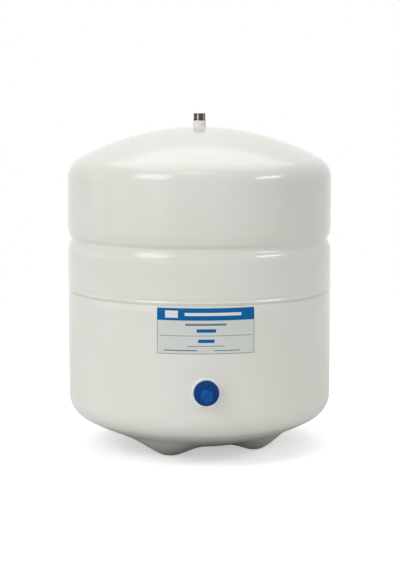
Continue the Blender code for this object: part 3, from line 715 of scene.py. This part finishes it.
def tank_lower(paint):
    """Base with pressed feet, the joggle into the lap and the valve's hole."""
    lap_radius = BODY_RADIUS - SHEET - LAP_CLEARANCE
    outside = [(lap_radius, LAP_TOP_Z), (lap_radius, SEAM_Z - WELD_HEIGHT)]
    outside += arc((wall_radius(SHOULDER_Z) - SHOULDER_DROP, SHOULDER_Z), SHOULDER_DROP, 90, 0, 4)
    for i in range(1, 9):
        z = SHOULDER_Z - SHOULDER_TAPER * i / 8
        outside.append((wall_radius(z), z))
    wall = between((BODY_RADIUS, SHOULDER_Z - SHOULDER_TAPER), (BODY_RADIUS, BASE_KNUCKLE_Z), 12)
    outside += wall[1:-1]
    outside += base_points(0.0, 22, 48)
    inside = [
        (lap_radius - SHEET, LAP_TOP_Z),
        (lap_radius - SHEET, SEAM_Z - WELD_HEIGHT - SHEET),
        (BODY_RADIUS - SHEET, SEAM_Z - WELD_HEIGHT - SHOULDER_TAPER),
    ]
    inside += base_points(SHEET, 8, 30)
    work = spun(outside + inside[::-1], SHELL_SEGMENTS)
    for vert in work.verts:
        x, y, z = vert.co
        if z < BASE_KNUCKLE_Z:
            vert.co.z -= foot_depth(math.hypot(x, y), math.atan2(x, -y))
    on_tank_axis(work)
    shell = piece("tank_lower", work, paint, "tank", "enamel", "lower_shell")
    cut_valve_hole(shell)
    return shell


def cut_valve_hole(shell):
    """Bores the wall where the boss passes through it."""
    near, far = BODY_RADIUS - SHEET - HOLE_DRILL_REACH, BODY_RADIUS + HOLE_DRILL_REACH
    work = spun([(0.0, near), (HOLE_RADIUS, near), (HOLE_RADIUS, far), (0.0, far)], FITTING_SEGMENTS)
    on_valve_axis(work)
    bmesh.ops.recalc_face_normals(work, faces=work.faces)
    drill = mesh_object("hole", work)
    cut = shell.modifiers.new("hole", "BOOLEAN")
    cut.operation = "DIFFERENCE"
    cut.solver = "EXACT"
    cut.object = drill
    evaluated = shell.evaluated_get(bpy.context.evaluated_depsgraph_get())
    shell.data = bpy.data.meshes.new_from_object(evaluated)
    shell.modifiers.clear()
    bpy.data.objects.remove(drill)


def seam_bead(paint):
    """Weld bead under the lip, with the fine ripples that the paint leaves showing."""
    lower_z = SEAM_Z - WELD_HEIGHT + GAP / 2
    upper_z = SEAM_Z - GAP / 4
    root = BODY_RADIUS - SHEET
    face = BODY_RADIUS - SHOULDER_DROP - GAP / 2
    outline = [(root, lower_z)]
    outline += [(face + WELD_BULGE * smooth(i / 6), lower_z + (upper_z - lower_z) * i / 6)
                for i in range(7)]
    outline += [(root, upper_z)]
    work = spun(outline, SEAM_SEGMENTS)
    for vert in work.verts:
        r = math.hypot(vert.co.x, vert.co.y)
        if r > face - GAP / 2:
            turn = math.atan2(vert.co.y, vert.co.x)
            height = (vert.co.z - lower_z) / (upper_z - lower_z)
            wave = math.sin(WELD_RIPPLES * turn + 2.0 * height) + 0.6 * math.sin(37.0 * turn)
            vert.co.xy *= 1.0 + WELD_RIPPLE_HEIGHT * wave / r
    on_tank_axis(work)
    return piece("seam_bead", work, paint, "tank", "enamel", "seam_weld")


# Nipple

def thread_radius(radius, depth, pitch, height, turn):
    """Radius of a right-hand thread with flat crests and rounded roots."""
    phase = (height / pitch + turn / math.tau) % 1.0
    valley = max(0.0, math.cos(math.tau * phase))
    return radius - depth * smooth(THREAD_FLANK_SHARE * valley)


def threaded(work, start, end, radius, depth, pitch):
    """Cuts a thread into the rings of a turned piece between two heights."""
    for vert in work.verts:
        r = math.hypot(vert.co.x, vert.co.y)
        if start < vert.co.z < end and abs(r - radius) < depth / 10:
            turn = math.atan2(vert.co.y, vert.co.x)
            fade = smooth((vert.co.z - start) / pitch) * smooth((end - vert.co.z) / pitch + 0.5)
            cut = radius - thread_radius(radius, depth, pitch, vert.co.z, -turn)
            vert.co.xy *= (radius - cut * fade) / r


def nipple(steel):
    """Turned nipple with its flange under the liner, painted shank and bare thread."""
    flange_top = NIPPLE_LOW_Z + NIPPLE_TAIL + FLANGE_THICKNESS
    thread_low = NIPPLE_TOP_Z - THREAD_LENGTH
    crest_top = NIPPLE_TOP_Z - THREAD_CHAMFER
    shank_end = thread_low - NIPPLE_ROUNDING
    outline = [(NIPPLE_BORE, NIPPLE_LOW_Z), (SHANK_RADIUS, NIPPLE_LOW_Z)]
    outline += [(radius, NIPPLE_LOW_Z + NIPPLE_TAIL) for radius in (SHANK_RADIUS, FLANGE_RADIUS)]
    outline += [(FLANGE_RADIUS, flange_top), (SHANK_RADIUS, flange_top)]
    outline += between((SHANK_RADIUS, flange_top + 0.001), (SHANK_RADIUS, shank_end), 4)
    outline += [(SHANK_RADIUS - THREAD_STEP_IN, thread_low - NIPPLE_ROUNDING / 3)]
    outline += [(THREAD_RADIUS, thread_low)]
    outline += between((THREAD_RADIUS, thread_low + THREAD_STEP_IN), (THREAD_RADIUS, crest_top), 84)
    outline += arc((THREAD_RADIUS - THREAD_CHAMFER, crest_top), THREAD_CHAMFER, 20, 80, 4)
    outline += [(NIPPLE_BORE + NIPPLE_ROUNDING, NIPPLE_TOP_Z),
                (NIPPLE_BORE, NIPPLE_TOP_Z - NIPPLE_ROUNDING)]
    work = spun(outline, FITTING_SEGMENTS)
    threaded(work, thread_low, crest_top, THREAD_RADIUS, THREAD_DEPTH, THREAD_PITCH)
    on_tank_axis(work)
    return piece("nipple", work, steel, "tank", "nipple_steel", "water_nipple")


def nipple_fillet(paint):
    """Small painted weld where the nipple leaves the dome, lapping softly on to both."""
    inner = SHANK_RADIUS + NIPPLE_WELD_INNER_GAP
    foot = POLE_Z - NIPPLE_WELD_SINK
    leg = NIPPLE_WELD_LEG
    outline = [(inner, foot), (inner + leg, foot)]
    outline += arc((inner + leg, foot + leg), leg * NIPPLE_WELD_SAG, 270, 180, 8)
    outline += [(inner, foot + leg)]
    work = spun(outline, FITTING_SEGMENTS)
    for vert in work.verts:
        turn = math.atan2(vert.co.y, vert.co.x)
        wobble = sum(height * math.sin(count * turn + start)
                     for height, count, start in NIPPLE_WELD_WAVES)
        r = math.hypot(vert.co.x, vert.co.y)
        if r > inner + leg / 4:
            vert.co.xy *= 1.0 + wobble / r
    on_tank_axis(work)
    return piece("nipple_fillet", work, paint, "tank", "enamel", "nipple_weld")


# Valve

def boss(paint):
    """Welded boss with a saddled back, soft painted edges and the seal's pocket."""
    saddle = BODY_RADIUS + GAP
    pocket = BOSS_FACE - SEAL_POCKET_DEPTH
    outline = [(BOSS_BORE, BOSS_END), (BOSS_BARREL_RADIUS, BOSS_END)]
    outline += [(BOSS_BARREL_RADIUS, saddle), (BOSS_RADIUS, saddle)]
    outline += arc((BOSS_RADIUS - BOSS_EDGE, BOSS_FACE - BOSS_EDGE), BOSS_EDGE, 0, 90, 6)
    outline += [(SEAL_POCKET_RADIUS, BOSS_FACE), (SEAL_POCKET_RADIUS, pocket)]
    outline += [(BOSS_BORE, pocket)]
    work = spun(outline, FITTING_SEGMENTS)
    for vert in work.verts:
        if abs(vert.co.z - saddle) < GAP / 10:
            vert.co.z = math.sqrt((saddle - GAP * 0.9) ** 2 - vert.co.x ** 2)
    on_valve_axis(work)
    return piece("boss", work, paint, "tank", "enamel", "valve_boss")


def stem(brass):
    """Brass stem with a chamfered hexagon head and a finely threaded tube."""
    head_back = BOSS_FACE + GAP
    head_face = head_back + HEAD_THICKNESS
    flat = HEAD_APOTHEM
    thread_start, thread_end = head_face + TUBE_THREAD_START, TUBE_TIP - HEAD_CHAMFER
    outline = [(AIR_BORE, BARREL_END), (BARREL_RADIUS, BARREL_END), (BARREL_RADIUS, head_back)]
    outline += [(flat, head_back), (flat, head_face - HEAD_CHAMFER)]
    outline += [(flat * HEAD_FACE_SHARE, head_face), (TUBE_RADIUS, head_face)]
    outline += between((TUBE_RADIUS, thread_start), (TUBE_RADIUS, thread_end), 96)
    outline += [(TUBE_RADIUS - HEAD_CHAMFER, TUBE_TIP), (CHAMBER_RADIUS, TUBE_TIP)]
    outline += [(CHAMBER_RADIUS, TUBE_TIP - CHAMBER_LENGTH), (AIR_BORE, TUBE_TIP - CHAMBER_LENGTH)]
    work = spun(outline, FITTING_SEGMENTS)
    for vert in work.verts:
        r = math.hypot(vert.co.x, vert.co.y)
        if r > (BARREL_RADIUS + flat) / 2 and vert.co.z < head_face - HEAD_CHAMFER / 2:
            side = math.pi / 3
            off = (math.atan2(vert.co.y, vert.co.x) + side / 2) % side - side / 2
            vert.co.xy /= math.cos(off)
    threaded(work, thread_start, thread_end, TUBE_RADIUS, TUBE_THREAD_DEPTH, TUBE_PITCH)
    on_valve_axis(work)
    return piece("stem", work, brass, "tank", "brass", "valve_stem")


def screw_cap(plastic):
    """Moulded cap: a wide skirt with rounded edges and a tapered, softly crowned nose."""
    ceiling = BOSS_FACE + GAP + HEAD_THICKNESS + GAP
    face = ceiling + CAP_ROOF
    bore_end = CAP_TIP - CAP_END_WALL
    skirt = arc((CAP_RADIUS - CAP_ROUNDING, face - CAP_ROUNDING), CAP_ROUNDING, 0, 90, 8)
    fillet_centre = (CAP_NOSE_ROOT_RADIUS + CAP_NOSE_FILLET, face + CAP_NOSE_FILLET)
    fillet = arc(fillet_centre, CAP_NOSE_FILLET, 270, 180, 6)
    nose_centre = (CAP_NOSE_TIP_RADIUS - CAP_TIP_ROUNDING, CAP_TIP - CAP_TIP_ROUNDING)
    nose = arc(nose_centre, CAP_TIP_ROUNDING, 3, 90, 10)
    outline = [(0.0, bore_end), (CAP_BORE, bore_end), (CAP_BORE, ceiling)]
    outline += [(CAP_CAVITY_RADIUS, ceiling), (CAP_CAVITY_RADIUS, CAP_RIM)]
    outline += [(CAP_RADIUS - CAP_RIM_CHAMFER, CAP_RIM), (CAP_RADIUS, CAP_RIM + CAP_RIM_CHAMFER)]
    outline += skirt + fillet + nose + [(0.0, CAP_TIP)]
    work = spun(outline, FITTING_SEGMENTS)
    on_valve_axis(work)
    return piece("screw_cap", work, plastic, "cap", "blue_plastic", "valve_cap")


# Label

def label_sheet():
    """Thin film that follows the wall, with its print laid out by a UV map."""
    columns, rows = 72, 32
    work = bmesh.new()
    prints = work.loops.layers.uv.new("print")
    places = {}

    def grid(lift):
        made = []
        for j in range(rows + 1):
            z = LABEL_LOW_Z + (LABEL_TOP_Z - LABEL_LOW_Z) * j / rows
            row = []
            for i in range(columns + 1):
                turn = LABEL_HALF_ANGLE * (2.0 * i / columns - 1.0)
                r = wall_radius(z) + lift
                vert = work.verts.new((r * math.sin(turn), AXIS_Y - r * math.cos(turn), z))
                places[vert] = (i / columns, j / rows)
                row.append(vert)
            made.append(row)
        return made

    front, back = grid(LABEL_LIFT + LABEL_FILM), grid(LABEL_LIFT)
    for j in range(rows):
        for i in range(columns):
            for side in (front, back):
                work.faces.new((side[j][i], side[j][i + 1], side[j + 1][i + 1], side[j + 1][i]))
    rim = ([(j, 0) for j in range(rows)] + [(rows, i) for i in range(columns)]
           + [(j, columns) for j in range(rows, 0, -1)] + [(0, i) for i in range(columns, 0, -1)])
    for (j, i), (k, m) in zip(rim, rim[1:] + rim[:1]):
        work.faces.new((front[j][i], front[k][m], back[k][m], back[j][i]))
    for face in work.faces:
        for loop in face.loops:
            loop[prints].uv = places[loop.vert]
    width = 2.0 * LABEL_HALF_ANGLE * BODY_RADIUS
    film = label_film(width, LABEL_TOP_Z - LABEL_LOW_Z)
    return piece("label_sheet", work, film, "tank", "label_film", "label")


# Stage

def emptied(owner):
    """The node tree of a material or world, without its nodes."""
    owner.use_nodes = True
    owner.node_tree.nodes.clear()
    return Nodes(owner.node_tree)


def clear_by_camera(box, seen, unseen):
    """Mixes two shaders: one for what the camera, glass and gloss see, one for soft light."""
    path = box.node("ShaderNodeLightPath")
    share = path.outputs["Is Camera Ray"]
    for key in ("Is Glossy Ray", "Is Transmission Ray"):
        share = box.math("MAXIMUM", share, path.outputs[key])
    return box.blend(share, unseen, seen)


def floor():
    """Round white floor that fades into the white background and keeps the tank's shadow; for
    bounced light it has a painted shadow under the tank.
    """
    work = bmesh.new()
    bmesh.ops.create_circle(work, cap_ends=True, segments=FLOOR_SEGMENTS, radius=FLOOR_RADIUS)
    plane = mesh_object("floor", work)
    plane.location.y = AXIS_Y
    material = bpy.data.materials.new("floor")
    box = emptied(material)
    length = box.node("ShaderNodeVectorMath", operation="LENGTH")
    box.link(box.node("ShaderNodeTexCoord").outputs["Object"], length.inputs[0])
    distance = length.outputs["Value"]

    lit = box.node("ShaderNodeBsdfDiffuse")
    lit.inputs["Color"].default_value = (FLOOR_WHITE, FLOOR_WHITE, FLOOR_WHITE, 1.0)
    lift = box.node("ShaderNodeEmission")
    lift.inputs["Strength"].default_value = FLOOR_LIFT
    box.link(box.node("ShaderNodeLightPath").outputs["Is Camera Ray"], lift.inputs["Color"])
    near = box.node("ShaderNodeAddShader")
    box.link(lit.outputs[0], near.inputs[0])
    box.link(lift.outputs[0], near.inputs[1])
    glow = box.node("ShaderNodeEmission")
    seen = box.blend(box.ramp(distance, *FLOOR_FADE), near.outputs[0], glow.outputs[0])

    # Painted shadow: bounced light comes off a floor coloured dark under the tank, pale near it and
    # greyer far off
    bounce = box.mix(box.ramp(distance, *UNDER_TO_NEAR), FLOOR_PAINTED_SHADOW, FLOOR_NEAR)
    bounce = box.mix(box.ramp(distance, *NEAR_TO_FAR), bounce, FLOOR_FAR)
    dull = box.node("ShaderNodeBsdfDiffuse")
    box.link(bounce, dull.inputs["Color"])
    out = box.node("ShaderNodeOutputMaterial")
    box.link(clear_by_camera(box, seen, dull.outputs[0]), out.inputs["Surface"])
    plane.data.materials.append(material)


def world():
    """White behind the object, and a dim even light on it."""
    sky = bpy.data.worlds.new("studio")
    bpy.context.scene.world = sky
    box = emptied(sky)
    seen = box.node("ShaderNodeBackground")
    seen.inputs["Color"].default_value = (*BACKGROUND, 1.0)
    unseen = box.node("ShaderNodeBackground")
    unseen.inputs["Color"].default_value = (*AMBIENT, 1.0)
    out = box.node("ShaderNodeOutputWorld")
    box.link(clear_by_camera(box, seen.outputs[0], unseen.outputs[0]), out.inputs["Surface"])


def softbox(name, azimuth, height_angle, distance, size, radiance, shape):
    """A panel aimed at the tank's middle, from an azimuth to the right of its front."""
    turn, lift = math.radians(azimuth), math.radians(height_angle)
    middle = Vector((0.0, AXIS_Y, LIGHT_AIM_Z))
    level = math.cos(lift)
    way = Vector((level * math.sin(turn), -level * math.cos(turn), math.sin(lift)))
    panel(name, middle + distance * way, way, size, radiance, shape)


def panel(name, place, back, size, radiance, shape):
    """An area light facing away from its back, which a mirror shows at the given brightness."""
    lamp = bpy.data.lights.new(name, "AREA")
    lamp.shape = shape
    lamp.size, lamp.size_y = size
    area = size[0] * size[1] * (math.pi / 4 if shape == "ELLIPSE" else 1.0)
    lamp.energy = radiance * math.pi * area
    item = add_object(name, lamp)
    item.location = place
    item.rotation_euler = back.to_track_quat("Z", "Y").to_euler()


def lights():
    for row in SOFTBOXES:
        softbox(*row)
    up = Vector((0.0, 0.0, 1.0))
    panel("overhead", OVERHEAD_PLACE, up, OVERHEAD_SIZE, OVERHEAD_RADIANCE, "RECTANGLE")


def camera():
    lens = bpy.data.cameras.new("camera")
    lens.lens = CAMERA_LENS
    lens.sensor_width = CAMERA_SENSOR
    lens.shift_x = AXIS_PIXELS_LEFT_OF_MIDDLE / FRAME_LONG_SIDE
    lens.shift_y = -HORIZON_PIXELS_ABOVE_MIDDLE / FRAME_LONG_SIDE
    item = add_object("camera", lens)
    item.location = (
        CAMERA_DISTANCE * math.sin(CAMERA_AZIMUTH),
        AXIS_Y - CAMERA_DISTANCE * math.cos(CAMERA_AZIMUTH),
        CAMERA_HEIGHT,
    )
    item.rotation_euler = (math.pi / 2 - CAMERA_PITCH, 0.0, CAMERA_AZIMUTH)
    bpy.context.scene.camera = item


def dress(node, material):
    """Gives a CAD node that stays its finish."""
    item = nodes[node]
    item.data.materials.clear()
    item.data.materials.append(material)
    item.data.shade_smooth()
    item.data.set_sharp_from_angle(angle=CAD_SHARP_ANGLE)


def build():
    paint = enamel("white_enamel", ENAMEL, ENAMEL_WARM)
    brass = turned_metal("brass", BRASS, BRASS_STAINED, 0.20, 0.36)
    plated = turned_metal("plated_steel", ZINC, ZINC_DULL, 0.24, 0.40)
    blue = cap_plastic()
    rubber = moulded("rubber", RUBBER, RUBBER_GREY, 0.60, 0.80)
    liner = moulded("liner_plastic", LINER_WHITE, LINER_SHADE, 0.38, 0.50)
    seal = moulded("seal_plastic", SEAL_RED, SEAL_RED_DARK, 0.38, 0.50)

    tank_upper(paint)
    tank_lower(paint)
    seam_bead(paint)
    nipple(nipple_steel(NIPPLE_LOW_Z + NIPPLE_TAIL, NIPPLE_TOP_Z - THREAD_LENGTH))
    nipple_fillet(paint)
    boss(enamel("boss_enamel", BOSS_WHITE, BOSS_WHITE_DULL))
    stem(brass)
    screw_cap(blue)
    label_sheet()
    for node, material, slot in (
        ("liner", liner, "liner_plastic"),
        ("clench_ring", plated, "plated_steel"),
        ("diaphragm", rubber, "rubber"),
        ("nipple_gasket", rubber, "rubber"),
        ("stem_seal", rubber, "rubber"),
        ("cap_gasket", rubber, "rubber"),
        ("pin_seal", rubber, "rubber"),
        ("core_body", brass, "brass"),
        ("core_pin", brass, "brass"),
        ("core_seal", seal, "seal_plastic"),
        ("core_spring", plated, "plated_steel"),
    ):
        dress(node, material)
    floor()
    world()
    lights()
    camera()
    bpy.context.scene.view_settings.view_transform = "Standard"


build()
